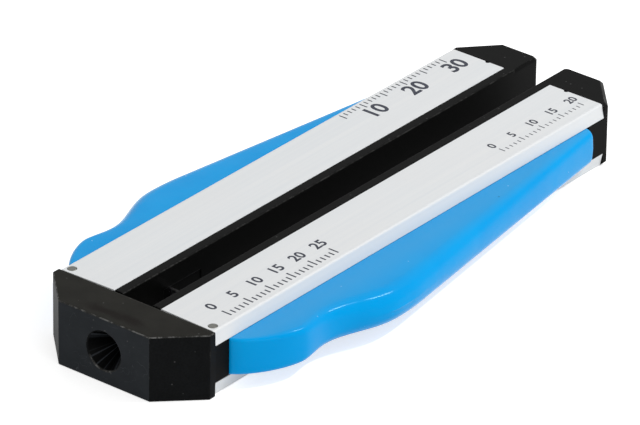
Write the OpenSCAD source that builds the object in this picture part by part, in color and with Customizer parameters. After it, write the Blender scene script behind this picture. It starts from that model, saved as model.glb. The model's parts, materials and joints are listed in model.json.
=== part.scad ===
// Pinch-type fibre stripper. Two arms swing on pins at the rear corners of a nose block.
// A fibre goes in through the funnel in the nose, along the guide tube and between two notched blades.
// +Y runs from the nose to the open end, +X is the right arm, and z = 0 is the face it lies on.

/* [Body] */
// Overall length, from the front of the nose to the open end of the arms
body_len = 108.6; // [90:0.1:130]
// Width across both arms, without the grips
body_w = 30.2; // [28:0.1:36]
// Thickness of the nose and of the arms
body_t = 10.8; // [10:0.1:13]
// Width of the slot between the arms at rest
slot_w = 5.6; // [5:0.1:7]
// Gap that is left on each side of the middle when an arm is squeezed home
stop_gap = 0.12; // [0.05:0.01:0.5]

/* [Nose] */
// Length of the nose block
nose_len = 7.4; // [7:0.1:12]
// How far back along the nose its front corners are cut
nose_cut_along = 6.2; // [3:0.1:6.5]
// How far in from each side its front corners are cut
nose_cut_across = 6.4; // [3:0.1:8]
// Bevel along the nose's top and bottom edges
nose_bevel = 0.15; // [0.1:0.05:0.6]
// Diameter of the funnel's mouth
funnel_d = 6.4; // [4:0.1:8]
// Depth of the funnel
funnel_len = 5.1; // [3:0.1:6]

/* [Fibre] */
// Largest coated fibre that the tool takes
jacket_d = 1.1; // [0.8:0.05:1.5]
// Diameter that the closed notches leave
cut_d = 0.6; // [0.4:0.05:0.75]
// Radial clearance of the fibre in its guide tube
guide_clear = 0.025; // [0.01:0.005:0.08]
// Outside diameter of the guide tube
tube_d = 2.4; // [2.2:0.1:2.8]
// Diameter of the guide tube's shoulder, which bears on the back of the nose
shoulder_d = 3.9; // [3.2:0.1:4.4]
// Length of that shoulder
shoulder_len = 1.6; // [0.8:0.1:4]

/* [Pivots] */
// Diameter of the pivot pins
pin_d = 1.5; // [1:0.1:2]
// Distance from an arm's side face to its pin's centre
pin_inset = 1.6; // [1.4:0.1:3]
// Distance from the nose's rear face to the pins' centres
pin_back = 1.3; // [1.1:0.1:3]
// Radial running clearance of a pin in its knuckle
pin_clear = 0.05; // [0.02:0.01:0.1]
// Gap between pieces that move past each other
run_gap = 0.1; // [0.05:0.01:0.3]

/* [Arms] */
// Width of the dark rim along the slot
rim_w = 1.6; // [1:0.1:2.5]
// Bevel on the rim's edges along the slot
rim_bevel = 0.15; // [0.1:0.05:0.6]
// Depth of the side channel that takes a grip
channel_depth = 5.6; // [4:0.1:6.5]
// Thickness of the plates
plate_t = 2.3; // [1.8:0.1:2.6]
// How far the plates' sides lean in, in degrees
plate_lean = 11; // [0:1:15]
// Radius of the plates' outer edges
plate_round = 0.4; // [0.2:0.1:0.6]
// Length of the block that closes an arm's open end
end_len = 6.8; // [4:0.1:10]
// Length of the block's tongue, which closes the side channel behind a grip
tongue_len = 3.9; // [1:0.1:8]
// How far along the open end's outer corners are cut
end_cut_along = 5.8; // [3:0.1:6]
// How far in from the side the open end's corners are cut
end_cut_across = 5.3; // [3:0.1:8]
// Bevel on the edges of the open end
end_bevel = 0.6; // [0.1:0.05:0.8]
// Radius of the upright edges where the slot opens
end_round = 0.8; // [0.7:0.1:1.5]
// Diameter of the pegs that locate a plate on its core
peg_d = 2.4; // [1.5:0.1:3]
// Height of those pegs
peg_h = 1.2; // [0.6:0.1:1.4]
// Clearance between pieces that are seated on each other
seat_gap = 0.02; // [0.01:0.01:0.06]

/* [Grips] */
// Gap between a grip's far end and the tongue behind it
grip_end_gap = 0.15; // [0.05:0.05:1]
// How far the front hump stands out from the side
front_hump = 6.5; // [3:0.1:8]
// Distance from the grip's front to the top of the front hump
front_hump_at = 10; // [7:0.1:12]
// How far the waist behind the front hump stands out
waist = 6.1; // [2:0.05:7]
// Distance from the grip's front to the waist
waist_at = 14.8; // [13:0.1:19]
// How far the main hump stands out
main_hump = 9.9; // [6:0.1:11]
// Distance from the grip's front to the top of the main hump
main_hump_at = 28.4; // [22:0.1:40]
// How far the tail stands out at the grip's far end
tail = 1.2; // [0.5:0.1:4]
// Edge radius of the grips at their front end
front_round = 0.7; // [0.3:0.1:1.5]
// Edge radius of the grips at the main hump
hump_round = 2.8; // [1:0.1:2.9]
// Edge radius of the grips at their far end
tail_round = 1.4; // [0.3:0.1:1.5]
// Crown of the grips' outer faces
grip_crown = 0.1; // [0:0.05:0.4]
// Diameter of the dowels that hold the grips
dowel_d = 2; // [1.5:0.1:2.5]
// Distance from the grip's far end to its rear dowel
dowel_end_gap = 10; // [6:0.5:20]

/* [Blades] */
// Thickness of a blade
blade_t = 0.5; // [0.3:0.05:0.8]
// Height of a blade
blade_h = 3; // [2.6:0.1:3.4]
// Half of the angle of a blade's notch
notch_angle = 60; // [50:1:65]
// Gap that is left between the blades when one arm is squeezed alone
blade_clear = 0.12; // [0.05:0.01:0.3]
// How deep a blade sits in its holder
blade_seat = 2.4; // [1.8:0.1:2.8]
// Diameter of the dowel through a blade
blade_dowel_d = 1; // [0.6:0.1:1.2]
// Metal that the holders have in front of the front blade
holder_lead = 1.6; // [1.2:0.1:2]
// Size of a blade holder across the arm
holder_w = 3.6; // [3:0.1:4]
// Length of a blade holder
holder_len = 8.5; // [8:0.1:10]
// Height of a blade holder
holder_h = 4; // [3.8:0.1:4.6]
// Thread diameter of the holders' screws
screw_d = 2; // [1.6:0.1:2.5]
// Head diameter of the holders' screws
screw_head_d = 3.8; // [3:0.1:4.4]
// Head height of the holders' screws
screw_head_h = 1.3; // [0.8:0.1:1.6]
// Width across the corners of the socket in the screws' heads
socket_d = 1.73; // [1:0.01:2]
// Depth of that socket
socket_depth = 0.8; // [0.4:0.1:1.2]

/* [Springs] */
// Thickness of the leaf springs
spring_t = 0.5; // [0.3:0.05:0.7]
// Height of the leaf springs
spring_h = 2.7; // [1.5:0.1:2.8]
// Height of the springs' lower edges above the resting face
spring_z = 0.8; // [0.4:0.1:1]
// Free length of the springs, from the nose to where they bear on the arms
spring_reach = 24; // [18:0.5:40]
// How deep the springs sit in the nose
spring_seat = 3.2; // [2:0.1:4]
// Length of the curl at a spring's free end
spring_curl = 2; // [1:0.1:4]

/* [Hidden] */
$fn = 64;
ARC_STEPS = 6;     // straight steps in each small rounded corner
LOFT_STEPS = 14;   // sections along each curved stretch of a grip
EPS = 0.5;         // how far a cutting shape runs past a face
BEVEL_SHARE = 0.4; // how far a bevel of 1 moves a cut corner along its edge

mid_z = body_t / 2;
side_x = body_w / 2;
wall_x = slot_w / 2;
plate_x = wall_x + rim_w;
floor_x = side_x - channel_depth;
pin_x = side_x - pin_inset;
pin_y = nose_len + pin_back;
arm_y = nose_len + run_gap;
plate_end = body_len - end_len;
knuckle_r = pin_inset;
knuckle_gap = 0.35;
pin_chamfer = 0.12;
funnel_edge = 0.15;
tube_chamfer = 0.3;

// the swing that closes the slot at the open end
swing = atan((wall_x - stop_gap) / (body_len - pin_y));
swing_spare = 0.1;
// the notches' corners at rest, and the distance behind the pins at which the swing closes them
notch_open = jacket_d / 2 / sin(notch_angle);
notch_shut = cut_d / 2 / sin(notch_angle);
blade_y = pin_y + (notch_open - notch_shut) / tan(swing);
notch_share = 0.4;
notch_half_h = blade_h * notch_share;
// a blade comes forward by this much as its arm closes, so the two lie that far apart at rest
blade_travel = pin_x * tan(swing);
blade_gap = blade_travel + blade_clear;
tip_x = notch_open - notch_half_h / tan(notch_angle);
blade_bevel = 25;

tube_bore_r = jacket_d / 2 + guide_clear;
// the tube stops short of the blades, which come forward as the arms close
tube_end = blade_y - blade_gap / 2 - blade_t - blade_travel - 3 * run_gap;

holder_x = wall_x + run_gap;
holder_front = blade_y - blade_gap / 2 - blade_t - holder_lead;
// the screw's head lies sunk in the channel's floor, and its tip ends inside the holder
screw_edge = 0.3;
screw_sink = 0.2;
screw_gap = 0.1;
screw_tip_gap = 0.8;
screw_y = holder_front + holder_len - screw_head_d / 2 - screw_edge;
screw_seat_x = floor_x - screw_head_h - screw_sink;
screw_tip_x = holder_x + screw_tip_gap;
// the dowel runs through the holder's front and both blades' slits
seat_share = 0.6;
blade_dowel_past = 1;
blade_dowel_x = holder_x + blade_seat * seat_share;
blade_dowel_y0 = holder_front + run_gap;
blade_dowel_y1 = blade_y + blade_gap / 2 + blade_t + blade_dowel_past;

grip_y = pin_y + knuckle_r + knuckle_gap;
grip_len = plate_end - tongue_len - grip_end_gap - grip_y;
grip_x = floor_x + run_gap;
grip_z0 = plate_t + run_gap / 2;
grip_z1 = body_t - plate_t - run_gap / 2;
hump_power = 1.4;
tail_blend = 6;
grip_front_edge = 0.15;
grip_tail_edge = 0.5;
tail_slope = (main_hump - tail) / (grip_len - main_hump_at - tail_blend / 2);
dowel_x = side_x - channel_depth / 2;
dowel_sink = 1.1;
dowel_chamfer = 0.2;
dowel_ys = [grip_y + waist_at, grip_y + grip_len - dowel_end_gap];

peg_x = (plate_x + floor_x) / 2;
peg_ys = [for (t = [0.12, 0.5, 0.9]) arm_y + t * (plate_end - arm_y)];

root_share = 0.62;
spring_root_x = wall_x * root_share;
spring_tip_x = wall_x - (spring_t + run_gap) / 2;
curl_angle = 60;

edge_chamfer = 0.1;
nick_x = plate_x + 3.3;
nick_r = 0.4;
nick_depth = 0.4;

BLACK = "#26282a";
WHITE = "#e2e5e8";
BLUE = "#0f97e2";
STEEL = "#a9acb0";

// ---- shared placing and shapes ----

// the parts are drawn from the nose's front face, for the right arm; side -1 gives the left arm
module placed(side = 1) {
    translate([0, -body_len / 2, 0]) mirror([side < 0 ? 1 : 0, 0, 0]) children();
}

// turns an outline drawn in (x, z) into a bar that runs from y0 to y1
module bar(y0, y1) {
    translate([0, y1, 0]) rotate([90, 0, 0]) linear_extrude(y1 - y0) children();
}

// a round hole or rod along +Y, from y0 to y1
module along_y(x, z, y0, y1, d) {
    translate([x, y0, z]) rotate([-90, 0, 0]) cylinder(d = d, h = y1 - y0);
}

// a round hole or rod along +X, from x0 to x1
module along_x(y, z, x0, x1, d) {
    translate([x0, y, z]) rotate([0, 90, 0]) cylinder(d = d, h = x1 - x0);
}

// an upright rod with a small chamfer at both ends
module chamfered_rod(d, z0, z1, chamfer) {
    rotate_extrude() polygon([[0, z0], [d / 2 - chamfer, z0], [d / 2, z0 + chamfer],
        [d / 2, z1 - chamfer], [d / 2 - chamfer, z1], [0, z1]]);
}

// points of a rounded corner about centre c, from angle a0 to a1
function corner(c, r, a0, a1) = [for (i = [0 : ARC_STEPS])
    let (a = a0 + (a1 - a0) * i / ARC_STEPS) [c[0] + r * cos(a), c[1] + r * sin(a)]];

// ---- nose ----

// plan of the nose, drawn in by a bevel all round except at the rear
function nose_plan(b) = let (
        x_front = side_x - nose_cut_across - b * BEVEL_SHARE,
        y_side = nose_cut_along + b * BEVEL_SHARE)
    [[-x_front, b], [x_front, b], [side_x - b, y_side], [side_x - b, nose_len],
     [b - side_x, nose_len], [b - side_x, y_side]];

module nose_shell() {
    hull() {
        translate([0, 0, nose_bevel]) linear_extrude(body_t - 2 * nose_bevel) polygon(nose_plan(0));
        linear_extrude(body_t) polygon(nose_plan(nose_bevel));
    }
}

// the lug that an arm swings on, between the arm's two plates
// round on the inside, where the arm turns about it, and square on the outside, next to the grip
module knuckle() {
    translate([0, 0, plate_t + run_gap]) linear_extrude(body_t - 2 * (plate_t + run_gap)) {
        translate([pin_x, pin_y]) circle(r = knuckle_r);
        translate([pin_x - knuckle_r, nose_len - EPS]) square([2 * knuckle_r, pin_back + EPS]);
        translate([pin_x, nose_len - EPS]) square([side_x - pin_x, grip_y - run_gap - nose_len + EPS]);
    }
}

module funnel() {
    translate([0, 0, mid_z]) rotate([-90, 0, 0]) rotate_extrude()
        polygon([[0, -EPS], [funnel_d / 2 + funnel_edge, -EPS], [funnel_d / 2 + funnel_edge, 0],
            [funnel_d / 2, funnel_edge], [tube_bore_r, funnel_len], [0, funnel_len]]);
}

module nose_block() {
    color(BLACK) placed() difference() {
        union() {
            nose_shell();
            for (m = [0, 1]) mirror([m, 0, 0]) knuckle();
        }
        funnel();
        along_y(0, mid_z, funnel_len, nose_len + EPS, tube_d + 2 * seat_gap);
        for (m = [0, 1]) mirror([m, 0, 0]) {
            translate([pin_x, pin_y, 0]) cylinder(d = pin_d + 2 * pin_clear, h = body_t);
            translate([spring_root_x - spring_t / 2 - seat_gap, nose_len - spring_seat, spring_z - seat_gap])
                cube([spring_t + 2 * seat_gap, spring_seat + EPS, spring_h + 2 * seat_gap]);
        }
    }
}

// pressed into the back of the nose as far as its shoulder
module guide_tube() {
    seat_y = nose_len + seat_gap;
    back_y = nose_len + shoulder_len;
    color(STEEL) placed() translate([0, 0, mid_z]) rotate([-90, 0, 0]) rotate_extrude()
        polygon([[tube_bore_r, funnel_len + seat_gap], [tube_d / 2, funnel_len + seat_gap],
            [tube_d / 2, seat_y], [shoulder_d / 2, seat_y], [shoulder_d / 2, back_y - tube_chamfer],
            [shoulder_d / 2 - tube_chamfer, back_y], [tube_d / 2, back_y],
            [tube_d / 2, tube_end - tube_chamfer], [tube_d / 2 - tube_chamfer, tube_end],
            [tube_bore_r, tube_end]]);
}

module return_spring(side) {
    // centre line: straight in the nose, bowed out to the arm, curled in at its free end
    bow = [for (i = [0 : 12]) let (u = i / 12)
        [spring_root_x + (spring_tip_x - spring_root_x) * (3 * u * u - pow(u, 3)) / 2,
         nose_len + spring_reach * u]];
    curl = [for (i = [1 : 4]) let (a = curl_angle * i / 4, r = spring_curl / sin(curl_angle))
        [spring_tip_x - r * (1 - cos(a)), nose_len + spring_reach + r * sin(a)]];
    line = concat([[spring_root_x, nose_len - spring_seat + seat_gap]], bow, curl);
    last = len(line) - 1;
    function normal(i) = let (
            d = line[min(i + 1, last)] - line[max(i - 1, 0)])
        [d[1], -d[0]] / norm(d);
    color(STEEL) placed(side) translate([0, 0, spring_z]) linear_extrude(spring_h) polygon(concat(
        [for (i = [0 : last]) line[i] + normal(i) * spring_t / 2],
        [for (i = [last : -1 : 0]) line[i] - normal(i) * spring_t / 2]));
}

// ---- arms ----

// the space in front of an arm that lets it swing without touching the nose
module nose_clearance() {
    inner = wall_x - EPS;
    translate([0, 0, -EPS]) linear_extrude(body_t + 2 * EPS) polygon([
        [side_x + EPS, nose_len - EPS], [side_x + EPS, arm_y], [pin_x, arm_y],
        [inner, arm_y + (pin_x - inner) * tan(swing + swing_spare)], [inner, nose_len - EPS]]);
}

// cross-section of the core: full height at the rim, and a web between the plates
function core_section() = [
    [wall_x, rim_bevel], [wall_x + rim_bevel, 0], [plate_x, 0], [plate_x, plate_t],
    [floor_x, plate_t], [floor_x, body_t - plate_t], [plate_x, body_t - plate_t],
    [plate_x, body_t], [wall_x + rim_bevel, body_t], [wall_x, body_t - rim_bevel]];

// plan of the end block, drawn in by the share t of its bevels
function end_plan(t) = let (
        in = t * rim_bevel,
        out = t * end_bevel,
        r = end_round)
    concat([[wall_x + in, plate_end]],
        corner([wall_x + r, body_len - out - r + in], r - in, 180, 90),
        [[side_x - end_cut_across - out * BEVEL_SHARE, body_len - out],
         [side_x - out, body_len - end_cut_along - out * BEVEL_SHARE],
         [side_x - out, plate_end]]);

module end_block() {
    hull() {
        translate([0, 0, end_bevel]) linear_extrude(body_t - 2 * end_bevel) polygon(end_plan(0));
        linear_extrude(body_t) polygon(end_plan(1));
    }
}

module arm_core(side) {
    color(BLACK) placed(side) difference() {
        union() {
            bar(nose_len, plate_end + EPS) polygon(core_section());
            end_block();
            translate([floor_x - EPS, plate_end - tongue_len, plate_t])
                cube([side_x - floor_x + EPS, tongue_len + EPS, body_t - 2 * plate_t]);
            // front boss beside and behind the knuckle
            translate([floor_x - EPS, nose_len, plate_t])
                cube([pin_x - knuckle_r - knuckle_gap - floor_x + EPS, grip_y - run_gap - nose_len,
                    body_t - 2 * plate_t]);
            for (y = peg_ys) translate([peg_x, y, plate_t - peg_h]) cylinder(d = peg_d,
                h = body_t - 2 * (plate_t - peg_h));
        }
        nose_clearance();
        translate([pin_x, pin_y, 0]) cylinder(r = knuckle_r + knuckle_gap, h = body_t);
        // pocket for the blade holder, open to the slot
        translate([wall_x - EPS, holder_front - seat_gap, mid_z - holder_h / 2 - seat_gap])
            cube([holder_w + run_gap + EPS + seat_gap, holder_len + 2 * seat_gap, holder_h + 2 * seat_gap]);
        along_x(screw_y, mid_z, wall_x, side_x, screw_d + 2 * screw_gap);
        along_x(screw_y, mid_z, screw_seat_x, side_x, screw_head_d + 4 * screw_gap);
    }
}

// cross-section of the top plate: its side leans in, and its outer edge is rounded
function plate_section() = let (
        round_x = side_x - (plate_round + (plate_t - plate_round) * sin(plate_lean)) / cos(plate_lean))
    concat(
        [[plate_x + seat_gap, body_t - plate_t + seat_gap], [side_x, body_t - plate_t + seat_gap]],
        corner([round_x, body_t - plate_round], plate_round, plate_lean, 90),
        [[plate_x + seat_gap + edge_chamfer, body_t], [plate_x + seat_gap, body_t - edge_chamfer]]);

module top_plate(side) {
    placed(side) difference() {
        bar(nose_len, plate_end - seat_gap) polygon(plate_section());
        nose_clearance();
        translate([pin_x, pin_y, 0]) cylinder(d = pin_d + 2 * seat_gap, h = body_t + EPS);
        for (y = peg_ys) translate([peg_x, y, 0])
            cylinder(d = peg_d + 4 * seat_gap, h = body_t - plate_t + peg_h + seat_gap);
        for (y = dowel_ys) translate([dowel_x, y, 0])
            cylinder(d = dowel_d + 2 * seat_gap, h = body_t - plate_t + dowel_sink + seat_gap);
        // small half-round nick in the far edge
        translate([nick_x, plate_end, body_t - nick_depth]) cylinder(r = nick_r, h = EPS + nick_depth);
    }
}

module bottom_plate(side) {
    translate([0, 0, body_t]) mirror([0, 0, 1]) top_plate(side);
}

module pivot_pin(side) {
    color(STEEL) placed(side) translate([pin_x, pin_y, 0]) chamfered_rod(pin_d, 0, body_t, pin_chamfer);
}

// ---- grips ----

// how far the grip stands out from the side, at a distance y behind its front end
function grip_out(y) =
    y < front_hump_at ?
        front_hump * pow(1 - pow(max(0, 1 - y / front_hump_at), hump_power), 1 / hump_power) :
    y < waist_at ?
        ease(front_hump, waist, (y - front_hump_at) / (waist_at - front_hump_at)) :
    y < main_hump_at ?
        ease(waist, main_hump, (y - waist_at) / (main_hump_at - waist_at)) :
    let (d = y - main_hump_at)
        main_hump - tail_slope * (d < tail_blend ? d * d / 2 / tail_blend : d - tail_blend / 2);

function ease(a, b, t) = a + (b - a) * (1 - cos(180 * t)) / 2;

// how far the rounding of the two ends draws a section in
function end_inset(y) = let (
        front = y < grip_len / 2,
        r = front ? grip_front_edge : grip_tail_edge,
        d = front ? y : grip_len - y)
    d < r ? r - sqrt(max(0, pow(r, 2) - pow(r - d, 2))) : 0;

// edge radius of the section at a distance y: largest at the main hump
function grip_edge(y) = y < main_hump_at ?
    ease(front_round, hump_round, y / main_hump_at) :
    hump_round + (tail_round - hump_round) * (y - main_hump_at) / (grip_len - main_hump_at);

// distances of the loft's sections: close together at the ends and on the humps
grip_ys = concat(
    [for (i = [0 : 2]) grip_front_edge * (1 - cos(45 * i))],
    [for (i = [1 : LOFT_STEPS / 2]) let (t = i * 2 / LOFT_STEPS)
        grip_front_edge + (front_hump_at - grip_front_edge) * t * (1 + t) / 2],
    [for (i = [1 : LOFT_STEPS / 2]) front_hump_at + (waist_at - front_hump_at) * i * 2 / LOFT_STEPS],
    [for (i = [1 : LOFT_STEPS]) waist_at + (main_hump_at - waist_at) * i / LOFT_STEPS],
    [for (i = [1 : 4]) main_hump_at + tail_blend * i / 4],
    [for (i = [4 : -1 : 0]) grip_len - grip_tail_edge * (1 - cos(22.5 * i))]);

// one section of a grip: square at the root, rounded and slightly crowned outside
function grip_section(y) = let (
        e = end_inset(y),
        x1 = side_x + grip_out(y) - e,
        z0 = grip_z0 + e,
        z1 = grip_z1 - e,
        r = grip_edge(y))
    [for (p = concat([[grip_x, z0]], corner([x1 - r, z0 + r], r, -90, 0), [[x1 + grip_crown, mid_z]],
        corner([x1 - r, z1 - r], r, 0, 90), [[grip_x, z1]])) [p[0], grip_y + y, p[1]]];

module grip_body() {
    rings = [for (y = grip_ys) grip_section(y)];
    n = len(rings[0]);
    last = len(rings) - 1;
    polyhedron(
        points = [for (ring = rings) each ring],
        faces = concat(
            [[for (i = [0 : n - 1]) i]],
            [[for (i = [n - 1 : -1 : 0]) last * n + i]],
            [for (k = [0 : last - 1], i = [0 : n - 1]) let (j = (i + 1) % n)
                [k * n + i, (k + 1) * n + i, (k + 1) * n + j, k * n + j]]),
        convexity = 6);
}

module grip(side) {
    color(BLUE) placed(side) difference() {
        grip_body();
        for (y = dowel_ys) translate([dowel_x, y, 0]) cylinder(d = dowel_d + 2 * seat_gap, h = body_t);
    }
}

module grip_dowels(side) {
    color(STEEL) placed(side) for (y = dowel_ys) translate([dowel_x, y, 0])
        chamfered_rod(dowel_d, plate_t - dowel_sink, body_t - plate_t + dowel_sink, dowel_chamfer);
}

// ---- blades ----

// the left blade passes in front of the right one, nearer to the nose
module blade(side) {
    y_shear = blade_y + side * blade_gap / 2;
    y_back = y_shear + side * blade_t;
    root_x = holder_x + blade_seat;
    color(STEEL) placed(side) difference() {
        bar(min(y_shear, y_back), max(y_shear, y_back)) polygon([
            [root_x, mid_z - blade_h / 2], [root_x, mid_z + blade_h / 2],
            [tip_x, mid_z + blade_h / 2], [tip_x, mid_z + notch_half_h], [notch_open, mid_z],
            [tip_x, mid_z - notch_half_h], [tip_x, mid_z - blade_h / 2]]);
        // ground bevels behind both cutting edges
        for (m = [0, 1]) translate([notch_open, 0, mid_z]) mirror([0, 0, m]) rotate([0, notch_angle - 90, 0])
            linear_extrude(notch_half_h / sin(notch_angle)) polygon([[-EPS, y_shear], [0, y_shear],
                [blade_t * tan(blade_bevel), y_back], [-EPS, y_back]]);
        along_y(blade_dowel_x, mid_z, blade_dowel_y0, blade_dowel_y1, blade_dowel_d + 2 * seat_gap);
    }
}

module blade_dowel(side) {
    color(STEEL) placed(side)
        along_y(blade_dowel_x, mid_z, blade_dowel_y0, blade_dowel_y1, blade_dowel_d);
}

module blade_holder(side) {
    slit_y = blade_y + side * (blade_gap + blade_t) / 2 - blade_t / 2 - seat_gap;
    color(BLACK) placed(side) difference() {
        translate([holder_x, holder_front, mid_z - holder_h / 2]) cube([holder_w, holder_len, holder_h]);
        translate([holder_x - EPS, slit_y, mid_z - blade_h / 2 - seat_gap])
            cube([blade_seat + seat_gap + EPS, blade_t + 2 * seat_gap, blade_h + 2 * seat_gap]);
        along_y(blade_dowel_x, mid_z, holder_front - EPS, blade_dowel_y1 + seat_gap,
            blade_dowel_d + 2 * seat_gap);
        along_x(screw_y, mid_z, screw_tip_x - screw_edge, holder_x + holder_w + EPS, screw_d + 2 * seat_gap);
    }
}

module holder_screw(side) {
    color(STEEL) placed(side) translate([screw_seat_x, screw_y, mid_z]) rotate([0, 90, 0]) difference() {
        union() {
            translate([0, 0, seat_gap]) cylinder(d = screw_head_d, h = screw_head_h);
            translate([0, 0, screw_tip_x - screw_seat_x]) cylinder(d = screw_d, h = screw_seat_x - screw_tip_x + EPS);
        }
        translate([0, 0, screw_head_h + seat_gap - socket_depth])
            cylinder(d = socket_d, h = socket_depth + EPS, $fn = 6);
    }
}

nose_block();
guide_tube();
arm_core(-1);  // left_arm_core
arm_core(1);  // right_arm_core
color(WHITE) top_plate(-1);  // left_top_plate
color(WHITE) top_plate(1);  // right_top_plate
color(WHITE) bottom_plate(-1);  // left_bottom_plate
color(WHITE) bottom_plate(1);  // right_bottom_plate
grip(-1);  // left_grip
grip(1);  // right_grip
grip_dowels(-1);  // left_grip_dowels
grip_dowels(1);  // right_grip_dowels
pivot_pin(-1);  // left_pivot_pin
pivot_pin(1);  // right_pivot_pin
blade(-1);  // left_blade
blade(1);  // right_blade
blade_dowel(-1);  // left_blade_dowel
blade_dowel(1);  // right_blade_dowel
blade_holder(-1);  // left_blade_holder
blade_holder(1);  // right_blade_holder
holder_screw(-1);  // left_holder_screw
holder_screw(1);  // right_holder_screw
return_spring(-1);  // left_return_spring
return_spring(1);  // right_return_spring
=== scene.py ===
# %% [markdown]
# # A fibre stripper
# The tool strips the outer coat from a single optical fibre. Two slim arms swing on pins in a black nose
# block, and squeezing the blue grips closes a pair of notched blades on the fibre.
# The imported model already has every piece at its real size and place. This script gives each piece the
# finish of the real one, remakes the moulded grips with smooth surfaces, adds printed scales, and sets up the
# camera and the light.

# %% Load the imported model
import json
import math

import bmesh
import bpy
from mathutils import Matrix, Vector


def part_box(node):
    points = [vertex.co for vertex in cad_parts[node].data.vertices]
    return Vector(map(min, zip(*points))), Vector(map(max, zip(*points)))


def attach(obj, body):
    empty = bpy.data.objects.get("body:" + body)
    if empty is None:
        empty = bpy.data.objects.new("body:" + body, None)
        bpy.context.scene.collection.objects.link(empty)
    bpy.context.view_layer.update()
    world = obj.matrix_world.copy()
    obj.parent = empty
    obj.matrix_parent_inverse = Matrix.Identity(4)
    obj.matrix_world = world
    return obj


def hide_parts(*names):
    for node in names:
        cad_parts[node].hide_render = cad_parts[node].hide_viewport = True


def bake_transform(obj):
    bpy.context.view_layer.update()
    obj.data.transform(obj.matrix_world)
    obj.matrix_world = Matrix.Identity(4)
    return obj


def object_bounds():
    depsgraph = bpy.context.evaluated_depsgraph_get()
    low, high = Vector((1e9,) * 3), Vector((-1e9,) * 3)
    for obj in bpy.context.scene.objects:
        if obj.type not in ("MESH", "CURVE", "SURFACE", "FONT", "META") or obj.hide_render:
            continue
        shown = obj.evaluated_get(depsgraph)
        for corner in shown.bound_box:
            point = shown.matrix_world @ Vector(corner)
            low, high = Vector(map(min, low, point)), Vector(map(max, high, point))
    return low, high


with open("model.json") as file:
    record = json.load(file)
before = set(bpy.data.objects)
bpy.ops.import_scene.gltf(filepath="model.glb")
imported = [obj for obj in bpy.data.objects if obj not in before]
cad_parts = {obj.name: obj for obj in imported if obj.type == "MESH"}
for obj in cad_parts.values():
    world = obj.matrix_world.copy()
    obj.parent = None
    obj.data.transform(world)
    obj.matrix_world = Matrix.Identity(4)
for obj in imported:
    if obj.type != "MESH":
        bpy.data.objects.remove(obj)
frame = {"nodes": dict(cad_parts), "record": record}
cad_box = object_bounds()
nodes = frame["nodes"]
scene = bpy.context.scene
MM = 0.001
BODY_TOP = cad_box[1].z
FRONT = cad_box[0].y
SIDES = {"left": -1, "right": 1}
print("pieces:", len(nodes), "size in mm:", [round(v / MM, 2) for v in cad_box[1] - cad_box[0]])

# %% [markdown]
# ## The camera
# The tool is seen from in front and above, through a long lens, so that its parallel edges stay nearly
# parallel. The camera's place is worked out from two angles, a distance and a small roll.

# %% Place the camera
VIEW_TURN = math.radians(38.4575)
VIEW_RISE = math.radians(28.2244)
VIEW_ROLL = math.radians(0.8178)
LENS = 393.75
DISTANCE = 1064.007 * MM
OFFSET_RIGHT = 2.325 * MM
OFFSET_UP = -5.435 * MM

back = Vector((math.sin(VIEW_TURN) * math.cos(VIEW_RISE),
               -math.cos(VIEW_TURN) * math.cos(VIEW_RISE), math.sin(VIEW_RISE)))
level = Vector((math.cos(VIEW_TURN), math.sin(VIEW_TURN), 0))
rise = back.cross(level)
right = math.cos(VIEW_ROLL) * level + math.sin(VIEW_ROLL) * rise
up = back.cross(right)
camera = bpy.data.objects.new("camera", bpy.data.cameras.new("camera"))
camera.data.lens = LENS
camera.data.sensor_width = 36
camera.data.clip_start = 0.05
camera.data.clip_end = 20
place = DISTANCE * back - OFFSET_RIGHT * right - OFFSET_UP * up
camera.matrix_world = Matrix.Translation(place) @ Matrix((right, up, back)).transposed().to_4x4()
scene.collection.objects.link(camera)
scene.camera = camera
scene.view_settings.view_transform = "Standard"
print("camera at", [round(v, 3) for v in camera.location], "lens", camera.data.lens)

# %% [markdown]
# ## Floor and light
# A pale floor fades into a white surround. Only what the camera and mirror-like surfaces see of them is pure
# white. The light that falls on the tool stays at a plain level, so that a colour shows about as written.


# %% Helpers for node trees
def add_node(tree, kind, inputs=None, **settings):
    """Adds a node, sets its properties, and fills its inputs with values or with other nodes' sockets."""
    made = tree.nodes.new(kind)
    for key, value in settings.items():
        setattr(made, key, value)
    for key, value in (inputs or {}).items():
        socket = made.inputs[key]
        if isinstance(value, bpy.types.NodeSocket):
            tree.links.new(value, socket)
        else:
            socket.default_value = value
    return made


def add_math(tree, operation, first, second=0.0, clamp=False):
    """Adds a Math node and gives its result."""
    made = add_node(tree, "ShaderNodeMath", {0: first, 1: second}, operation=operation, use_clamp=clamp)
    return made.outputs[0]


def product(tree, *factors):
    """Multiplies two or more values."""
    result = factors[0]
    for factor in factors[1:]:
        result = add_math(tree, "MULTIPLY", result, factor)
    return result


def add_ramp(tree, value, low, high, to_low=0.0, to_high=1.0):
    """Maps a value from low-high to to_low-to_high, with soft ends."""
    return add_node(tree, "ShaderNodeMapRange",
                    {"Value": value, "From Min": low, "From Max": high, "To Min": to_low, "To Max": to_high},
                    interpolation_type="SMOOTHSTEP").outputs[0]


def add_mix(tree, factor, first, second):
    """Mixes two colours."""
    return add_node(tree, "ShaderNodeMix", {0: factor, 6: first, 7: second}, data_type="RGBA").outputs[2]


def add_noise(tree, vector, scale, detail, roughness=0.5, distortion=0.0):
    """Adds a Noise Texture and gives its value."""
    inputs = {"Vector": vector, "Scale": scale, "Detail": detail, "Roughness": roughness,
              "Distortion": distortion}
    return add_node(tree, "ShaderNodeTexNoise", inputs).outputs["Fac"]


def place_in_mm(tree):
    """The place on the object, in mm."""
    place = add_node(tree, "ShaderNodeTexCoord").outputs["Object"]
    inputs = {0: place, "Scale": 1 / MM}
    return add_node(tree, "ShaderNodeVectorMath", inputs, operation="SCALE").outputs[0]


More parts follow.
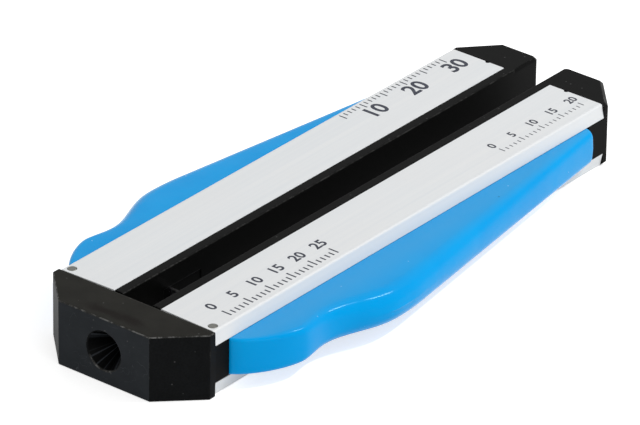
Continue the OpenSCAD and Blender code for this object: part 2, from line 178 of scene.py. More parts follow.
def facing(tree):
    """The parts along X, Y and Z of the surface's own direction."""
    normal = add_node(tree, "ShaderNodeNewGeometry").outputs["Normal"]
    return add_node(tree, "ShaderNodeSeparateXYZ", {0: normal}).outputs


def seen_directly(tree):
    """1 for rays that come from the camera, a mirror or through glass, and 0 for the rest."""
    path = add_node(tree, "ShaderNodeLightPath")
    mirror = add_math(tree, "ADD", path.outputs["Is Camera Ray"], path.outputs["Is Glossy Ray"])
    return add_math(tree, "ADD", mirror, path.outputs["Is Transmission Ray"], clamp=True)


# %% The surround
SURROUND_LIGHT = 0.58
world = bpy.data.worlds.new("white surround")
world.use_nodes = True
tree = world.node_tree
tree.nodes.clear()
levels = {"Value": seen_directly(tree), "To Min": SURROUND_LIGHT, "To Max": 1.0}
strength = add_node(tree, "ShaderNodeMapRange", levels).outputs[0]
background = add_node(tree, "ShaderNodeBackground", {"Color": (1, 1, 1, 1), "Strength": strength})
add_node(tree, "ShaderNodeOutputWorld", {"Surface": background.outputs[0]})
scene.world = world
print("surround light", SURROUND_LIGHT)

# %% The floor
FLOOR_SIZE = 3.0
FLOOR_GLOW = 0.62
FLOOR_GREY = 0.8
FLOOR_GAP = 0.02 * MM
floor_material = bpy.data.materials.new("pale floor")
floor_material.use_nodes = True
tree = floor_material.node_tree
tree.nodes.clear()
glow = product(tree, seen_directly(tree), FLOOR_GLOW)
matt = add_node(tree, "ShaderNodeBsdfDiffuse", {"Color": (FLOOR_GREY, FLOOR_GREY, FLOOR_GREY, 1)})
light = add_node(tree, "ShaderNodeEmission", {"Color": (1, 1, 1, 1), "Strength": glow})
both = add_node(tree, "ShaderNodeAddShader", {0: matt.outputs[0], 1: light.outputs[0]})
add_node(tree, "ShaderNodeOutputMaterial", {"Surface": both.outputs[0]})
half = FLOOR_SIZE / 2
floor_mesh = bpy.data.meshes.new("floor")
corners = [(-half, -half, 0), (half, -half, 0), (half, half, 0), (-half, half, 0)]
floor_mesh.from_pydata(corners, [], [(0, 1, 2, 3)])
floor_mesh.materials.append(floor_material)
floor = bpy.data.objects.new("floor", floor_mesh)
floor.location.z = cad_box[0].z - FLOOR_GAP
scene.collection.objects.link(floor)
print("floor", FLOOR_SIZE, "m across")


# %% [markdown]
# ## The lamps
# A long, thin lamp behind and above draws the bright streaks on the grips' edges. A large soft lamp, low on
# the right, lights the sides, so that they are nearly as bright as the top.


# %% The lamps
LAMP_DISTANCE = 0.9


def softbox(name, towards, size, power):
    """An area lamp in the direction `towards`, facing the tool. Its first side lies along the tool."""
    direction = Vector(towards).normalized()
    along = (Vector((0, 1, 0)) - direction.y * direction).normalized()
    across = direction.cross(along)
    data = bpy.data.lights.new(name, "AREA")
    data.shape = "RECTANGLE"
    data.size, data.size_y = size
    data.energy = power
    lamp = bpy.data.objects.new(name, data)
    turned = Matrix((along, across, direction)).transposed().to_4x4()
    lamp.matrix_world = Matrix.Translation(direction * LAMP_DISTANCE) @ turned
    scene.collection.objects.link(lamp)


softbox("streak light", (0.44, 0.45, 0.78), (0.25, 0.03), 3.6)
softbox("side light", (0.80, -0.45, 0.30), (0.6, 0.6), 1.7)

# %% [markdown]
# ## Effects that several finishes share
# Worn edges, fine grain, specks and scratches turn up on metal and on plastic alike. Each is made once, as a
# group of shader nodes with named inputs, and each finish sets its own values. All lengths in these groups
# are in millimetres on the object.


# %% A start for each effect
def new_effect(name, inputs, outputs):
    """Makes an empty shader group with named sockets, and a socket with the place on the object in mm."""
    tree = bpy.data.node_groups.new(name, "ShaderNodeTree")
    for label, kind, value in inputs:
        socket = tree.interface.new_socket(label, in_out="INPUT", socket_type=kind)
        socket.default_value = value
    for label, kind in outputs:
        tree.interface.new_socket(label, in_out="OUTPUT", socket_type=kind)
    given = add_node(tree, "NodeGroupInput").outputs
    out = add_node(tree, "NodeGroupOutput")
    return tree, given, out, place_in_mm(tree)


# %% Worn edges
def make_edge_wear():
    """Mask of the edges, broken up by noise: 1 where the coat is rubbed through."""
    tree, given, out, place = new_effect(
        "edge wear",
        [("Width mm", "NodeSocketFloat", 0.25), ("Amount", "NodeSocketFloat", 0.5),
         ("Scale", "NodeSocketFloat", 1.5)],
        [("Mask", "NodeSocketFloat"), ("Normal", "NodeSocketVector")])
    soft = add_node(tree, "ShaderNodeBevel", {"Radius": product(tree, given["Width mm"], MM)}, samples=8)
    hard = add_node(tree, "ShaderNodeNewGeometry").outputs["Normal"]
    same = add_node(tree, "ShaderNodeVectorMath", {0: soft.outputs[0], 1: hard}, operation="DOT_PRODUCT")
    edge = add_ramp(tree, add_math(tree, "SUBTRACT", 1.0, same.outputs["Value"]), 0.01, 0.12)
    noise = add_noise(tree, place, given["Scale"], 6.0, 0.7)
    cut = add_math(tree, "SUBTRACT", 0.75, product(tree, given["Amount"], 0.5))
    broken = add_ramp(tree, add_math(tree, "SUBTRACT", noise, cut), -0.03, 0.06)
    tree.links.new(product(tree, edge, broken), out.inputs["Mask"])
    tree.links.new(soft.outputs[0], out.inputs["Normal"])
    return tree


# %% Fine grain
def make_grain():
    """Fine lines along one axis: a height for the surface and a mask for colour."""
    tree, given, out, place = new_effect(
        "fine grain",
        [("Stretch", "NodeSocketVector", (1.0, 1.0, 1.0)), ("Scale", "NodeSocketFloat", 4.0),
         ("Contrast", "NodeSocketFloat", 0.3)],
        [("Height", "NodeSocketFloat"), ("Mask", "NodeSocketFloat")])
    drawn = add_node(tree, "ShaderNodeVectorMath", {0: place, 1: given["Stretch"]}, operation="MULTIPLY")
    noise = add_noise(tree, drawn.outputs[0], given["Scale"], 5.0, 0.6)
    reach = product(tree, given["Contrast"], 0.5)
    low = add_math(tree, "SUBTRACT", 0.5, reach)
    high = add_math(tree, "ADD", 0.5, reach)
    mask = add_node(tree, "ShaderNodeMapRange", {"Value": noise, "From Min": low, "From Max": high})
    tree.links.new(noise, out.inputs["Height"])
    tree.links.new(mask.outputs[0], out.inputs["Mask"])
    return tree


# %% Specks
def make_specks():
    """Scattered small specks of dust or bare material: 1 inside a speck."""
    tree, given, out, place = new_effect(
        "specks",
        [("Scale", "NodeSocketFloat", 1.2), ("Size", "NodeSocketFloat", 0.12),
         ("Share", "NodeSocketFloat", 0.3)],
        [("Mask", "NodeSocketFloat")])
    inputs = {"Vector": place, "Scale": given["Scale"], "Randomness": 1.0}
    cells = add_node(tree, "ShaderNodeTexVoronoi", inputs).outputs
    inside = add_math(tree, "LESS_THAN", cells["Distance"], given["Size"])
    pick = add_node(tree, "ShaderNodeSeparateColor", {"Color": cells["Color"]}).outputs[0]
    chosen = add_math(tree, "LESS_THAN", pick, given["Share"])
    tree.links.new(product(tree, inside, chosen), out.inputs["Mask"])
    return tree


# %% Scratches
def make_scratches():
    """Thin wandering lines, broken up: 1 on a scratch."""
    tree, given, out, place = new_effect(
        "scratches", [("Scale", "NodeSocketFloat", 0.2), ("Width", "NodeSocketFloat", 0.004)],
        [("Mask", "NodeSocketFloat")])
    winding = add_noise(tree, place, given["Scale"], 1.5, distortion=1.2)
    off = add_math(tree, "ABSOLUTE", add_math(tree, "SUBTRACT", winding, 0.5))
    line = add_math(tree, "LESS_THAN", off, given["Width"])
    patches = add_ramp(tree, add_noise(tree, place, 0.5, 3.0), 0.48, 0.58)
    tree.links.new(product(tree, line, patches), out.inputs["Mask"])
    return tree


# %% The four effects
edge_wear = make_edge_wear()
fine_grain = make_grain()
specks = make_specks()
scratches = make_scratches()
print("effects:", [g.name for g in bpy.data.node_groups])


# %% A start for each finish
def new_finish(name):
    """Makes a material with a Principled shader. Gives the material, its tree, its shader and the place."""
    material = bpy.data.materials.new(name)
    material.use_nodes = True
    tree = material.node_tree
    tree.nodes.clear()
    shader = add_node(tree, "ShaderNodeBsdfPrincipled")
    add_node(tree, "ShaderNodeOutputMaterial", {"Surface": shader.outputs[0]})
    return material, tree, shader, place_in_mm(tree)


def place_group(tree, effect, values):
    """Adds a group node and sets its inputs by name."""
    made = tree.nodes.new("ShaderNodeGroup")
    made.node_tree = effect
    for key, value in values.items():
        if isinstance(value, bpy.types.NodeSocket):
            tree.links.new(value, made.inputs[key])
        else:
            made.inputs[key].default_value = value
    return made.outputs


def add_bump(tree, height, distance, strength, normal=None):
    """Adds a Bump node. The distance is in mm."""
    inputs = {"Height": height, "Distance": distance * MM, "Strength": strength}
    if normal is not None:
        inputs["Normal"] = normal
    return add_node(tree, "ShaderNodeBump", inputs).outputs[0]


# %% [markdown]
# ## The black parts
# Nose and arm cores are anodised aluminium. The coat is dull and nearly black, faded to a warm brown on the
# top of the nose. Light and shade are painted into the nose's colour by the surface's direction: lighter on
# the top, lighter and cooler on the front, darkest on the sides. Soft clouds vary it, and the arms are
# darkest.

# %% Black: painted light and shade by direction
NOSE_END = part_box("left_top_plate")[0].y / MM
ARM_BLACK = (0.0016, 0.0017, 0.0016, 1)
black, tree, shader, place = new_finish("black anodised")
xyz = add_node(tree, "ShaderNodeSeparateXYZ", {0: place}).outputs
turned = facing(tree)
on_top = add_ramp(tree, turned["Z"], 0.5, 0.9)
on_front = add_ramp(tree, product(tree, turned["Y"], -1.0), 0.85, 0.97)
cloud = add_ramp(tree, add_noise(tree, place, 0.3, 4.0), 0.3, 0.7)
# painted light and shade: the nose's top and front are lighter and its sides darker, by the surface's
# direction; the top's warm brown is faded anodising
faded_and_lit_top_colour = add_mix(tree, cloud, (0.0105, 0.0100, 0.0078, 1), (0.0145, 0.0138, 0.0110, 1))
lit_front_colour = add_mix(tree, cloud, (0.0165, 0.0192, 0.0222, 1), (0.0205, 0.0235, 0.0270, 1))
shaded_side_colour = add_mix(tree, cloud, (0.0020, 0.0023, 0.0025, 1), (0.0030, 0.0034, 0.0037, 1))
colour = add_mix(tree, on_front, shaded_side_colour, lit_front_colour)
colour = add_mix(tree, on_top, colour, faded_and_lit_top_colour)
on_nose = add_ramp(tree, xyz["Y"], NOSE_END - 0.1, NOSE_END + 0.1, 1.0, 0.0)
colour = add_mix(tree, on_nose, ARM_BLACK, colour)
print("black: the nose is lighter than the arms, up to y =", round(NOSE_END, 2))

# %% [markdown]
# A band along the front edge of the nose's top is rubbed to a dark brown. Its edges are soft, and it drifts a
# little to and fro.

# %% Black: the rubbed band
BAND_Y = FRONT / MM + 2.1
BAND_X = 0.5
BAND_DRIFT = 0.8
BROWN = (0.0040, 0.0022, 0.0012, 1)
drift = product(tree, add_math(tree, "SUBTRACT", cloud, 0.5), BAND_DRIFT)
off_y = add_math(tree, "ADD", add_math(tree, "SUBTRACT", xyz["Y"], BAND_Y), drift)
near_y = add_ramp(tree, add_math(tree, "ABSOLUTE", off_y), 0.2, 1.3, 1.0, 0.0)
off_x = add_math(tree, "SUBTRACT", xyz["X"], BAND_X)
near_x = add_ramp(tree, add_math(tree, "ABSOLUTE", off_x), 3.0, 7.0, 1.0, 0.0)
colour = add_mix(tree, product(tree, near_y, near_x, on_top, 0.9), colour, BROWN)
print("band at y =", round(BAND_Y, 2))

# %% [markdown]
# The funnel is painted nearly black as shade, with painted highlights: light streaks that depend only on the
# direction from its axis, so each runs straight down the cone.

# %% Black: the funnel's painted shade and highlights
FUNNEL_R = 3.3
FUNNEL_DEPTH = 6.1
MID_Z = BODY_TOP / MM / 2
CONE_SHADE = (0.0006, 0.0007, 0.0008, 1)
CONE_GLINT = (0.036, 0.040, 0.046, 1)
above_axis = add_math(tree, "SUBTRACT", xyz["Z"], MID_Z)
from_axis = add_node(tree, "ShaderNodeCombineXYZ", {0: xyz["X"], 1: above_axis}).outputs[0]
radius = add_node(tree, "ShaderNodeVectorMath", {0: from_axis}, operation="LENGTH").outputs["Value"]
in_funnel = product(tree, add_math(tree, "LESS_THAN", radius, FUNNEL_R),
                    add_ramp(tree, xyz["Y"], FRONT / MM + 0.05, FRONT / MM + 0.3),
                    add_math(tree, "LESS_THAN", xyz["Y"], FRONT / MM + FUNNEL_DEPTH))
spin = add_node(tree, "ShaderNodeVectorMath", {0: from_axis}, operation="NORMALIZE").outputs[0]
# painted highlights: light streaks down the cone, over a bore painted nearly black as shade
rays = add_ramp(tree, add_noise(tree, spin, 3.2, 2.5, 0.7), 0.53, 0.64)
colour = add_mix(tree, in_funnel, colour, add_mix(tree, rays, CONE_SHADE, CONE_GLINT))
not_funnel = add_math(tree, "SUBTRACT", 1.0, in_funnel)
print("funnel lines within", FUNNEL_R, "mm of the axis")

# %% [markdown]
# Wear comes in four kinds: speckled edges, a nearly bare line along the top's bevelled edge, dust, and thin
# scratches on the front. Edges and bevels are more worn on the nose than on the arms.

# %% Black: wear
WORN = (0.10, 0.10, 0.095, 1)
BARE = (0.15, 0.15, 0.145, 1)
DUST = (0.12, 0.12, 0.12, 1)
SCRATCH = (0.10, 0.11, 0.12, 1)
wear = place_group(tree, edge_wear, {"Width mm": 0.30, "Amount": 0.42, "Scale": 1.3})
rubbed = product(tree, wear["Mask"], not_funnel, add_ramp(tree, on_nose, 0.0, 1.0, 0.22, 0.7))
colour = add_mix(tree, rubbed, colour, WORN)
patches = add_ramp(tree, add_noise(tree, place, 0.8, 5.0, 0.7), 0.45, 0.62, 0.12, 0.9)
not_side = add_ramp(tree, turned["Z"], 0.3, 0.5)
not_flat = add_ramp(tree, turned["Z"], 0.85, 0.95, 1.0, 0.0)
share = add_ramp(tree, on_nose, 0.0, 1.0, 0.2, 1.0)
bevelled = product(tree, not_side, not_flat, not_funnel, patches, share)
colour = add_mix(tree, bevelled, colour, BARE)
scratched = place_group(tree, scratches, {"Scale": 0.16, "Width": 0.0018})["Mask"]
colour = add_mix(tree, product(tree, scratched, on_front, not_funnel, 0.35), colour, SCRATCH)
dust = place_group(tree, specks, {"Scale": 0.9, "Size": 0.12, "Share": 0.25})["Mask"]
colour = add_mix(tree, product(tree, dust, not_funnel, 0.35), colour, DUST)
print("wear: edges, bevels, scratches and dust")

# %% Black: milling lines and the shader
MILLED = (0.030, 0.032, 0.034, 1)
lines = place_group(tree, fine_grain, {"Stretch": (0.12, 2.2, 1.6), "Scale": 2.2, "Contrast": 0.25})
colour = add_mix(tree, product(tree, lines["Mask"], not_funnel, on_nose, 0.09), colour, MILLED)
rough = add_math(tree, "ADD", 0.40, product(tree, lines["Height"], 0.14))
bump = add_bump(tree, lines["Height"], 0.006, 0.35, wear["Normal"])
tree.links.new(colour, shader.inputs["Base Color"])
tree.links.new(rough, shader.inputs["Roughness"])
tree.links.new(bump, shader.inputs["Normal"])
shader.inputs["Specular IOR Level"].default_value = 0.04
print("made", black.name)

# %% [markdown]
# ## The white plates
# The plates are extruded plastic, let in flush between nose, rim and end block. Extruding leaves faint
# streaks along them, a little lighter than the rest, and a fine grain that dulls their gloss.

# %% White plate finish
white, tree, shader, place = new_finish("white extruded plastic")
streaks = place_group(tree, fine_grain, {"Stretch": (1.6, 0.012, 1.6), "Scale": 0.8, "Contrast": 0.5})
cloud = add_ramp(tree, add_noise(tree, place, 0.06, 2.0), 0.35, 0.65)
colour = add_mix(tree, streaks["Mask"], (0.700, 0.725, 0.745, 1), (0.765, 0.778, 0.782, 1))
colour = add_mix(tree, product(tree, cloud, 0.35), colour, (0.745, 0.748, 0.750, 1))
soft_edge = place_group(tree, edge_wear, {"Width mm": 0.10, "Amount": 0.2, "Scale": 1.2})["Normal"]
fine = place_group(tree, fine_grain, {"Stretch": (3.0, 0.05, 3.0), "Scale": 2.5, "Contrast": 0.4})
rough = add_math(tree, "ADD", 0.36, product(tree, fine["Height"], 0.18))
tree.links.new(colour, shader.inputs["Base Color"])
tree.links.new(rough, shader.inputs["Roughness"])
tree.links.new(add_bump(tree, fine["Height"], 0.003, 0.3, soft_edge), shader.inputs["Normal"])
shader.inputs["Specular IOR Level"].default_value = 0.30
print("made", white.name)

# %% [markdown]
# ## The blue grips
# The grips are moulded in a clear, strong blue with a wet-looking gloss. A painted reflection makes the top
# of the right one paler and greyer next to the plate, and specks sit on both. Their surface isn't quite even,
# which makes the long highlights waver.

# %% Blue: colour
SIDE_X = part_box("right_top_plate")[1].x / MM
SHEEN_BLUE = (0.035, 0.335, 0.700, 1)
PALE = (0.30, 0.62, 0.90, 1)
DARK = (0.01, 0.09, 0.22, 1)
blue, tree, shader, place = new_finish("blue moulded plastic")
xyz = add_node(tree, "ShaderNodeSeparateXYZ", {0: place}).outputs
cloud = add_ramp(tree, add_noise(tree, place, 0.09, 2.0), 0.35, 0.65)
colour = add_mix(tree, cloud, (0.0, 0.325, 0.755, 1), (0.0, 0.345, 0.780, 1))
out_from_plate = add_math(tree, "SUBTRACT", add_math(tree, "ABSOLUTE", xyz["X"]), SIDE_X)
# painted reflection: the top of the right grip is paler and greyer next to the plate
painted_sheen = product(tree, add_ramp(tree, facing(tree)["Z"], 0.6, 0.98),
               add_ramp(tree, out_from_plate, 1.0, 8.0, 1.0, 0.2),
               add_math(tree, "GREATER_THAN", xyz["X"], 0.0), 0.9)
colour = add_mix(tree, painted_sheen, colour, SHEEN_BLUE)
pale = place_group(tree, specks, {"Scale": 0.35, "Size": 0.045, "Share": 0.25})["Mask"]
colour = add_mix(tree, product(tree, pale, 0.55), colour, PALE)
dark = place_group(tree, specks, {"Scale": 0.22, "Size": 0.06, "Share": 0.16})["Mask"]
colour = add_mix(tree, product(tree, dark, 0.45), colour, DARK)
tree.links.new(colour, shader.inputs["Base Color"])
print("haze on top of the right grip, outwards from x =", round(SIDE_X, 2))

# %% Blue: gloss
wave = add_noise(tree, place, 0.22, 1.0)
skin = add_noise(tree, place, 3.0, 3.0)
rough = add_math(tree, "ADD", 0.10, product(tree, skin, 0.08))
tree.links.new(rough, shader.inputs["Roughness"])
uneven = add_bump(tree, wave, 0.25, 0.35)
tree.links.new(add_bump(tree, skin, 0.003, 0.2, uneven), shader.inputs["Normal"])
shader.inputs["Specular IOR Level"].default_value = 0.09
shader.inputs["Specular Tint"].default_value = (0.5, 0.85, 1.0, 1.0)
print("made", blue.name)

# %% [markdown]
# ## Steel, spring steel and print
# Pins, dowels and screws are ground steel with a dull end; blades are brighter, and springs are blued. The
# print on the plates is a dark blue-black ink.


# %% Steel finishes
def make_steel(name, light, dark, rough, stretch):
    """A ground metal with lines along one axis."""
    material, tree, shader, place = new_finish(name)
    lines = place_group(tree, fine_grain, {"Stretch": stretch, "Scale": 5.0, "Contrast": 0.5})
    uneven = add_math(tree, "ADD", rough, product(tree, lines["Height"], 0.2))
    tree.links.new(add_mix(tree, lines["Mask"], dark, light), shader.inputs["Base Color"])
    tree.links.new(uneven, shader.inputs["Roughness"])
    tree.links.new(add_bump(tree, lines["Height"], 0.004, 0.4), shader.inputs["Normal"])
    shader.inputs["Metallic"].default_value = 1.0
    return material


steel = make_steel("ground steel", (0.22, 0.22, 0.20, 1), (0.13, 0.13, 0.12, 1), 0.35, (1.0, 1.0, 0.2))
blade_steel = make_steel("blade steel", (0.55, 0.55, 0.56, 1), (0.42, 0.42, 0.43, 1), 0.2, (0.2, 1.0, 1.0))
spring_steel = make_steel("blued spring steel", (0.17, 0.18, 0.22, 1), (0.09, 0.10, 0.14, 1), 0.3,
                          (1.0, 0.1, 1.0))
print("made", steel.name, blade_steel.name, spring_steel.name)

# %% Ink
ink, tree, shader, place = new_finish("dark ink")
spots = add_ramp(tree, add_noise(tree, place, 3.0, 4.0), 0.4, 0.6)
colour = add_mix(tree, spots, (0.014, 0.018, 0.034, 1), (0.024, 0.030, 0.050, 1))
tree.links.new(colour, shader.inputs["Base Color"])
shader.inputs["Roughness"].default_value = 0.45
shader.inputs["Specular IOR Level"].default_value = 0.3
print("materials:", [m.name for m in bpy.data.materials])

# %% Give each node its finish
FINISHES = {"black_parts": black, "white_plates": white, "blue_grips": blue, "steel_parts": steel,
            "blade_steel": blade_steel, "spring_steel": spring_steel}
for row in frame["record"]["subparts"]:
    mesh = nodes[row["node"]].data
    mesh.materials.clear()
    mesh.materials.append(FINISHES[row["material_slot"]])
    print(row["node"], "->", mesh.materials[0].name)

# %% [markdown]
# ## The grips
# A grip is one moulding: it rises in a small front hump, dips to a waist, swells to the main hump for the
# finger and then tapers to the open end. Every section across it has the same build, with round edges whose
# radius changes along the length, so the piece is made by a rule: rings of points along the grip, joined to a
# skin. The plain model uses the same rule with fewer rings.

# %% Sizes of a grip, in mm
grip_box = [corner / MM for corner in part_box("right_grip")]
GRIP_Y = grip_box[0].y
GRIP_LEN = grip_box[1].y - grip_box[0].y
GRIP_Z = (grip_box[0].z, grip_box[1].z)
ROOT_X = grip_box[0].x
CROWN = 0.1
FRONT_HUMP, FRONT_HUMP_AT = 6.5, 10.0
WAIST, WAIST_AT = 6.1, 14.8
MAIN_HUMP, MAIN_HUMP_AT = 9.9, 28.4
TAIL, TAIL_BLEND = 1.2, 6.0
HUMP_POWER = 1.4
FRONT_ROUND, HUMP_ROUND, TAIL_ROUND = 0.7, 2.8, 1.4
FRONT_EDGE, TAIL_EDGE = 0.15, 0.5
print("grip from", round(GRIP_Y, 2), "length", round(GRIP_LEN, 2), "outer side", round(SIDE_X, 2))


# %% The grip's outline
def ease(first, last, share):
    """Goes from first to last with a soft start and end."""
    return first + (last - first) * (1 - math.cos(math.pi * share)) / 2


def grip_out(y):
    """How far the grip stands out from the arm's side, at y mm behind its front end."""
    if y < FRONT_HUMP_AT:
        share = max(0.0, 1 - y / FRONT_HUMP_AT)
        return FRONT_HUMP * (1 - share ** HUMP_POWER) ** (1 / HUMP_POWER)
    if y < WAIST_AT:
        return ease(FRONT_HUMP, WAIST, (y - FRONT_HUMP_AT) / (WAIST_AT - FRONT_HUMP_AT))
    if y < MAIN_HUMP_AT:
        return ease(WAIST, MAIN_HUMP, (y - WAIST_AT) / (MAIN_HUMP_AT - WAIST_AT))
    past = y - MAIN_HUMP_AT
    slope = (MAIN_HUMP - TAIL) / (GRIP_LEN - MAIN_HUMP_AT - TAIL_BLEND / 2)
    drop = past * past / 2 / TAIL_BLEND if past < TAIL_BLEND else past - TAIL_BLEND / 2
    return MAIN_HUMP - slope * drop


def edge_radius(y):
    """Radius of the grip's long edges, at y mm behind its front end."""
    if y < MAIN_HUMP_AT:
        return ease(FRONT_ROUND, HUMP_ROUND, y / MAIN_HUMP_AT)
    return HUMP_ROUND + (TAIL_ROUND - HUMP_ROUND) * (y - MAIN_HUMP_AT) / (GRIP_LEN - MAIN_HUMP_AT)


def end_inset(y):
    """How far the small roundings of the two ends draw a section in."""
    edge, depth = (FRONT_EDGE, y) if y < GRIP_LEN / 2 else (TAIL_EDGE, GRIP_LEN - y)
    if depth >= edge:
        return 0.0
    return edge - math.sqrt(max(0.0, edge ** 2 - (edge - depth) ** 2))


# %% Skin the grips
CORNER_STEPS = 10
STEP = 0.5


def grip_ring(y):
    """Points (x, z) of one section of the right grip, from the root's lower edge round to its upper one."""
    inset = end_inset(y)
    outer = SIDE_X + grip_out(y) - inset
    low, high = GRIP_Z[0] + inset, GRIP_Z[1] - inset
    r = min(edge_radius(y), (high - low) / 2 - 0.05)
    ring = [(ROOT_X, low)]
    for i in range(4):
        ring.append((ROOT_X + (outer - r - ROOT_X) * (i + 1) / 5, low))
    for i in range(CORNER_STEPS + 1):
        a = math.radians(-90 + 90 * i / CORNER_STEPS)
        ring.append((outer - r + r * math.cos(a), low + r + r * math.sin(a)))
    ring.append((outer + CROWN, (low + high) / 2))
    for i in range(CORNER_STEPS + 1):
        a = math.radians(90 * i / CORNER_STEPS)
        ring.append((outer - r + r * math.cos(a), high - r + r * math.sin(a)))
    for i in range(4):
        ring.append((ROOT_X + (outer - r - ROOT_X) * (4 - i) / 5, high))
    ring.append((ROOT_X, high))
    return ring


def make_grip(side):
    """Makes one smooth grip for the left or the right arm."""
    sign = SIDES[side]
    ends = [FRONT_EDGE * (1 - math.cos(math.radians(22.5 * i))) for i in range(5)]
    tails = [GRIP_LEN - TAIL_EDGE * (1 - math.cos(math.radians(22.5 * i))) for i in range(4, -1, -1)]
    count = int((tails[0] - ends[-1]) / STEP)
    middle = [ends[-1] + (tails[0] - ends[-1]) * (i + 1) / (count + 1) for i in range(count)]
    mesh = bmesh.new()
    rings = []
    for y in ends + middle + tails:
        rings.append([mesh.verts.new((sign * x * MM, (GRIP_Y + y) * MM, z * MM)) for x, z in grip_ring(y)])
    for first, second in zip(rings, rings[1:]):
        for i in range(len(first)):
            j = (i + 1) % len(first)
            mesh.faces.new((first[i], second[i], second[j], first[j]))
    mesh.faces.new(rings[0])
    mesh.faces.new(list(reversed(rings[-1])))
    bmesh.ops.recalc_face_normals(mesh, faces=mesh.faces)
    for face in mesh.faces:
        face.smooth = True
    for edge in mesh.edges:
        if edge.calc_face_angle(0) > math.radians(35):
            edge.smooth = False
    data = bpy.data.meshes.new(side + "_grip_skin")
    mesh.to_mesh(data)
    mesh.free()
    data.materials.append(blue)
    piece = bpy.data.objects.new(side + "_grip_skin", data)
    scene.collection.objects.link(piece)
    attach(piece, side + "_arm")
    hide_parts(side + "_grip")
    print(piece.name, len(data.polygons), "faces")
    return piece


for side in SIDES:
    make_grip(side)

# %% [markdown]
# ## The return springs
# Each leaf spring is held in the nose and leans on an arm. When the arm is squeezed, the spring bends: its
# root stays with the nose and its free end moves with the arm. The plain model's spring is stiff, so a copy
# with more cuts along its length takes its place.

# %% Spring copies with more cuts
CUTS = 24


def make_spring(side):
    """Copies a spring, merges its loose triangles and slices it along its length."""
    node = nodes[side + "_return_spring"]
    low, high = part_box(side + "_return_spring")
    mesh = bmesh.new()
    mesh.from_mesh(node.data)
    bmesh.ops.remove_doubles(mesh, verts=mesh.verts, dist=0.001 * MM)
    bmesh.ops.dissolve_limit(mesh, angle_limit=math.radians(1), verts=mesh.verts, edges=mesh.edges)
    for i in range(1, CUTS):
        y = low.y + (high.y - low.y) * i / CUTS
        bmesh.ops.bisect_plane(mesh, geom=mesh.verts[:] + mesh.edges[:] + mesh.faces[:], plane_co=(0, y, 0),
                               plane_no=(0, 1, 0), dist=1e-7)
    bmesh.ops.triangulate(mesh, faces=mesh.faces)
    data = bpy.data.meshes.new(side + "_spring_leaf")
    mesh.to_mesh(data)
    mesh.free()
    data.materials.append(spring_steel)
    piece = bpy.data.objects.new(side + "_spring_leaf", data)
    scene.collection.objects.link(piece)
    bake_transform(piece)
    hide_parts(side + "_return_spring")
    print(piece.name, len(data.polygons), "faces")


for side in SIDES:
    make_spring(side)

# %% [markdown]
# ## The printed scales
# The plates carry dark print. It is plain millimetre scales: a row of ticks, every fifth one longer, and
# numbers beside them. Ticks repeat at an even pitch, so Geometry Nodes makes them from a line of points with
# a small bar on each, and a rule for the longer ones. The numbers are text turned into a mesh.


# %% A rule that makes ticks
def make_tick_rule():
    """A Geometry Nodes tree: a row of bars along Y, every fifth one longer."""
    tree = bpy.data.node_groups.new("tick row", "GeometryNodeTree")
    for label, kind in (("Count", "NodeSocketInt"), ("Pitch", "NodeSocketFloat"),
                        ("Tick Width", "NodeSocketFloat"), ("Tick Length", "NodeSocketFloat"),
                        ("Fifth Length", "NodeSocketFloat"), ("Ink Height", "NodeSocketFloat"),
                        ("Material", "NodeSocketMaterial")):
        tree.interface.new_socket(label, in_out="INPUT", socket_type=kind)
    tree.interface.new_socket("Geometry", in_out="OUTPUT", socket_type="NodeSocketGeometry")
    given = add_node(tree, "NodeGroupInput").outputs
    step = add_node(tree, "ShaderNodeCombineXYZ", {"Y": given["Pitch"]}).outputs[0]
    row = add_node(tree, "GeometryNodeMeshLine", {"Count": given["Count"], "Offset": step}, mode="OFFSET")
    index = add_node(tree, "GeometryNodeInputIndex").outputs[0]
    fifth = add_math(tree, "LESS_THAN", add_math(tree, "MODULO", index, 5.0), 0.5)
    lengths = {"Value": fifth, "To Min": given["Tick Length"], "To Max": given["Fifth Length"]}
    length = add_node(tree, "ShaderNodeMapRange", lengths).outputs[0]
    sizes = {"X": length, "Y": given["Tick Width"], "Z": given["Ink Height"]}
    size = add_node(tree, "ShaderNodeCombineXYZ", sizes).outputs[0]
    cube = add_node(tree, "GeometryNodeMeshCube", {"Size": (1.0, 1.0, 1.0)}).outputs["Mesh"]
    to_corner = {"Geometry": cube, "Translation": (0.5, 0.0, 0.5)}
    shift = add_node(tree, "GeometryNodeTransform", to_corner)
    bars = add_node(tree, "GeometryNodeInstanceOnPoints",
                    {"Points": row.outputs["Mesh"], "Instance": shift.outputs[0], "Scale": size})
    solid = add_node(tree, "GeometryNodeRealizeInstances", {"Geometry": bars.outputs[0]}).outputs[0]
    inked = add_node(tree, "GeometryNodeSetMaterial", {"Geometry": solid, "Material": given["Material"]})
    add_node(tree, "NodeGroupOutput", {"Geometry": inked.outputs[0]})
    return tree


tick_rule = make_tick_rule()
print("inputs:", [s.name for s in tick_rule.interface.items_tree if s.in_out == "INPUT"])


# %% Ticks and numbers
CAPITAL_SHARE = 0.7
BOLDNESS = 0.024
INK_HEIGHT = 0.01 * MM
TICK_WIDTH = 0.26
FIFTH_SHARE = 1.7


def ticks_mesh(name, **values):
    """Runs the rule with the given values and returns a plain mesh."""
    holder = bpy.data.objects.new(name, bpy.data.meshes.new(name))
    scene.collection.objects.link(holder)
    modifier = holder.modifiers.new("ticks", "NODES")
    modifier.node_group = tick_rule
    sockets = {s.name: s.identifier for s in tick_rule.interface.items_tree if s.in_out == "INPUT"}
    for label, value in values.items():
        modifier[sockets[label.replace("_", " ")]] = value
    modifier[sockets["Material"]] = ink
    graph = bpy.context.evaluated_depsgraph_get()
    mesh = bpy.data.meshes.new_from_object(holder.evaluated_get(graph))
    bpy.data.objects.remove(holder)
    return mesh


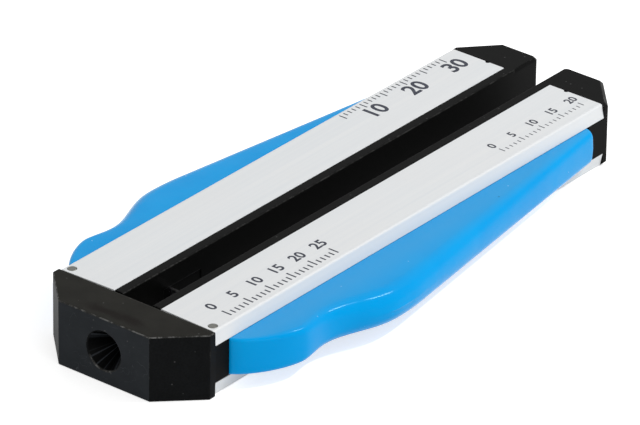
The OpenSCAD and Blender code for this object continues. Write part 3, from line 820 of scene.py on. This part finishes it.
def number_mesh(text, height):
    """A bold number as a thin mesh in the XY plane, `height` tall and centred on the origin."""
    curve = bpy.data.curves.new("number", "FONT")
    curve.body = text
    curve.align_x = "CENTER"
    curve.align_y = "CENTER"
    curve.size = height / CAPITAL_SHARE
    curve.offset = BOLDNESS * curve.size
    curve.extrude = INK_HEIGHT / 2
    curve.resolution_u = 4
    holder = bpy.data.objects.new("number", curve)
    scene.collection.objects.link(holder)
    bpy.context.view_layer.update()
    graph = bpy.context.evaluated_depsgraph_get()
    mesh = bpy.data.meshes.new_from_object(holder.evaluated_get(graph))
    bpy.data.objects.remove(holder)
    return mesh


def print_scale(name, side, first_y, values, number_every, edge_x, number_x, height, tick):
    """One scale on a top plate, in mm: ticks from edge_x inwards, and a number at every few ticks."""
    count = len(values)
    mesh = bmesh.new()
    part = ticks_mesh(name, Count=count, Pitch=MM, Tick_Width=TICK_WIDTH * tick * MM, Tick_Length=tick * MM,
                      Fifth_Length=FIFTH_SHARE * tick * MM, Ink_Height=INK_HEIGHT)
    start = first_y if side == "left" else first_y + count - 1
    turn = Matrix.Identity(4) if side == "left" else Matrix.Rotation(math.pi, 4, "Z")
    part.transform(Matrix.Translation((SIDES[side] * edge_x * MM, FRONT + start * MM, BODY_TOP)) @ turn)
    mesh.from_mesh(part)
    upright = Matrix.Rotation(math.pi / 2, 4, "Z")
    for i, value in enumerate(values):
        if value % number_every == 0:
            part = number_mesh(str(value), height * MM)
            at = Vector((SIDES[side] * number_x * MM, FRONT + (first_y + i) * MM, BODY_TOP + INK_HEIGHT / 2))
            part.transform(Matrix.Translation(at) @ upright)
            mesh.from_mesh(part)
    data = bpy.data.meshes.new(name)
    mesh.to_mesh(data)
    mesh.free()
    data.materials.clear()
    data.materials.append(ink)
    data.polygons.foreach_set("material_index", [0] * len(data.polygons))
    piece = bpy.data.objects.new(name, data)
    scene.collection.objects.link(piece)
    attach(piece, side + "_arm")
    print(name, len(data.polygons), "faces")


# %% Three scales
print_scale("left_scale", "left", 72.5, range(5, 31), 10, edge_x=14.0, number_x=10.7, height=3.0, tick=0.9)
print_scale("right_scale_near", "right", 13.0, range(26), 5, edge_x=13.5, number_x=9.7, height=1.9, tick=1.1)
print_scale("right_scale_far", "right", 79.7, range(21), 5, edge_x=12.7, number_x=10.2, height=1.5, tick=0.7)
